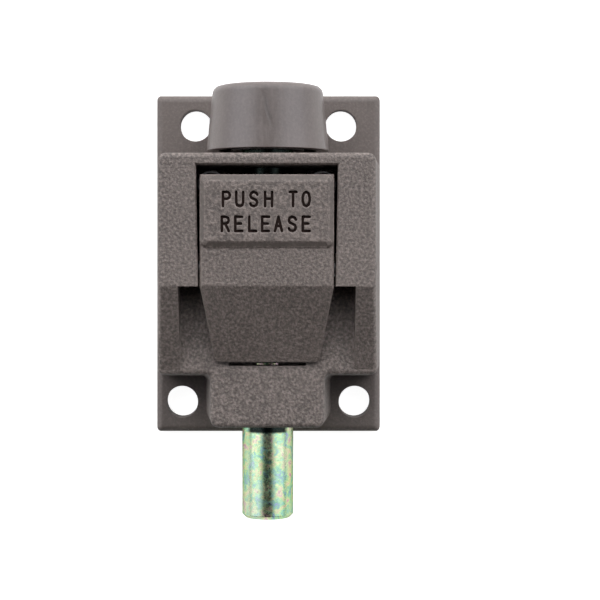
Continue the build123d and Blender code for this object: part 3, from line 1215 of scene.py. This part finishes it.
@dataclass
class Studio:
    """Pale floor behind the part, which lies on its back, with soft light and the camera."""

    aim: tuple[float, float, float] = (0.0, -0.012, -0.004)
    boxes: tuple[SoftBox, ...] = (
        SoftBox("overhead", 0.0, 50.0, 0.7, 0.2, 0.6),
        SoftBox("left_side", -56.0, -6.0, 0.42, 0.32, 0.3),
        SoftBox("right_side", 56.0, -6.0, 0.42, 0.32, 0.3),
        SoftBox("left_upper", -66.0, 42.0, 0.4, 0.3, 0.5),
        SoftBox("right_upper", 66.0, 42.0, 0.4, 0.3, 0.5),
    )
    sky: Sky = field(default_factory=Sky)
    camera_place: tuple[float, float, float] = (0.00257, -0.250, 0.0022)
    lens_mm: float = 91.5
    shift: tuple[float, float] = (0.0263, -0.0833)
    floor_behind_mm: float = 0.4
    floor_half: float = 2.0
    backing_behind_mm: float = 0.2
    backing_ends_mm: Point = (-15.6, 15.6)
    backing_inset_mm: float = 1.7
    paper: float = 0.8
    paper_shown: float = 0.94
    paper_mirrored: float = 0.3
    # near-black colour of the backing, painted shade inside the housing
    card: Colour = (0.006, 0.007, 0.006)
    light_from_behind: float = 0.35

    def build(self) -> None:
        """Sets the stage: floor, a dark backing of painted shade, lights, world and camera."""
        far = self.floor_half
        self._sheet("studio_floor", (-far, far), (-far, far), self.floor_behind_mm, self._floor_material())
        _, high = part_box("housing")
        side = high.x - self.backing_inset_mm * MM
        ends = (self.backing_ends_mm[0] * MM, self.backing_ends_mm[1] * MM)
        self._sheet("painted_shade_backing", (-side, side), ends, self.backing_behind_mm, self._painted_shade_material())
        for box in self.boxes:
            self._light(box)
        bpy.context.scene.world = self.sky.build()
        self._camera()
        bpy.context.scene.view_settings.view_transform = "Standard"

    @staticmethod
    def _sheet(name: str, across: Point, up: Point, behind_mm: float, material: bpy.types.Material) -> None:
        """Hangs an upright sheet square to the camera's axis, as stage.

        Args:
            name: The sheet's name.
            across: Its left and right edges, in metres.
            up: Its bottom and top edges, in metres.
            behind_mm: How far it stands behind the part's back.
            material: Its finish.
        """
        mesh = bpy.data.meshes.new(name)
        y = behind_mm * MM
        corners = [(across[0], y, up[0]), (across[1], y, up[0]), (across[1], y, up[1]), (across[0], y, up[1])]
        mesh.from_pydata(corners, [], [(0, 1, 2, 3)])
        obj = Workshop.new_object(name, mesh)
        obj.data.materials.append(material)

    def _one_sided(self, name: str) -> tuple[bpy.types.Material, Graph, bpy.types.Node]:
        """Starts a stage material that is clear from behind and lets some of the light there through.

        Args:
            name: The material's name.

        Returns:
            The material, its graph, and the mix whose input 1 takes the front's shader.
        """
        material = bpy.data.materials.new(name)
        material.use_nodes = True
        graph = Graph(material.node_tree)
        graph.tree.nodes.clear()
        behind = graph.add("ShaderNodeNewGeometry").outputs["Backfacing"]
        rays = graph.add("ShaderNodeLightPath").outputs
        lit = graph.math("MAXIMUM", rays["Is Shadow Ray"], rays["Is Diffuse Ray"])
        through = graph.math("MAXIMUM", behind, graph.math("MULTIPLY", lit, self.light_from_behind))
        clear = graph.add("ShaderNodeBsdfTransparent")
        shown = graph.add("ShaderNodeMixShader", {0: through, 2: clear.outputs[0]})
        graph.add("ShaderNodeOutputMaterial", {0: shown.outputs[0]})
        return material, graph, shown

    def _floor_material(self) -> bpy.types.Material:
        """White paper that shows white to the camera and keeps the part's shadow."""
        material, graph, shown = self._one_sided("white_paper")
        rays = graph.add("ShaderNodeLightPath").outputs
        mirrored = graph.math("MAXIMUM", rays["Is Glossy Ray"], rays["Is Transmission Ray"])
        direct = graph.math("MULTIPLY", rays["Is Camera Ray"], self.paper_shown)
        seen = graph.math("MAXIMUM", direct, graph.math("MULTIPLY", mirrored, self.paper_mirrored))
        glow = graph.add("ShaderNodeEmission", {"Strength": seen})
        paper = graph.add("ShaderNodeBsdfDiffuse", {"Color": (self.paper, self.paper, self.paper, 1.0)})
        both = graph.add("ShaderNodeAddShader", {0: glow.outputs[0], 1: paper.outputs[0]})
        graph.tree.links.new(both.outputs[0], shown.inputs[1])
        return material

    def _painted_shade_material(self) -> bpy.types.Material:
        """Near-black card of painted shade behind the hollow housing, whose inside lies in shadow."""
        material, graph, shown = self._one_sided("painted_shade_card")
        card = graph.add("ShaderNodeBsdfDiffuse", {"Color": (*self.card, 1.0)})
        graph.tree.links.new(card.outputs[0], shown.inputs[1])
        return material

    def _light(self, box: SoftBox) -> None:
        """Hangs one soft light, turned towards the part.

        Args:
            box: The light.
        """
        data = bpy.data.lights.new(box.name, "AREA")
        data.shape = "RECTANGLE"
        data.size = box.width
        data.size_y = box.height
        data.energy = box.radiance * math.pi * box.width * box.height
        lamp = bpy.data.objects.new(box.name, data)
        bpy.context.scene.collection.objects.link(lamp)
        azimuth, elevation = math.radians(box.azimuth), math.radians(box.elevation)
        flat = math.cos(elevation)
        out = Vector((math.sin(azimuth) * flat, -math.cos(azimuth) * flat, math.sin(elevation)))
        lamp.location = Vector(self.aim) + box.distance * out
        lamp.rotation_euler = (-out).to_track_quat("-Z", "Y").to_euler()

    def _camera(self) -> None:
        """Places the camera square to the part, framed as the photograph."""
        data = bpy.data.cameras.new("camera")
        data.sensor_width = 36.0
        data.lens = self.lens_mm
        data.shift_x, data.shift_y = self.shift
        data.clip_start = 0.01
        camera = bpy.data.objects.new("camera", data)
        camera.location = self.camera_place
        camera.rotation_euler = (math.radians(90), 0, 0)
        bpy.context.scene.collection.objects.link(camera)
        bpy.context.scene.camera = camera


def main() -> None:
    """Builds the sub-assemblies and the studio."""
    logging.basicConfig(level=logging.INFO, format="%(message)s")
    effects = Effects()
    for unit in (HousingUnit(), BoltUnit(), LeverUnit(), SpringSet()):
        for piece in unit.build(effects):
            log.info("%s: %d faces", piece.name, len(piece.data.polygons))
    Studio().build()


if __name__ == "__main__":
    main()
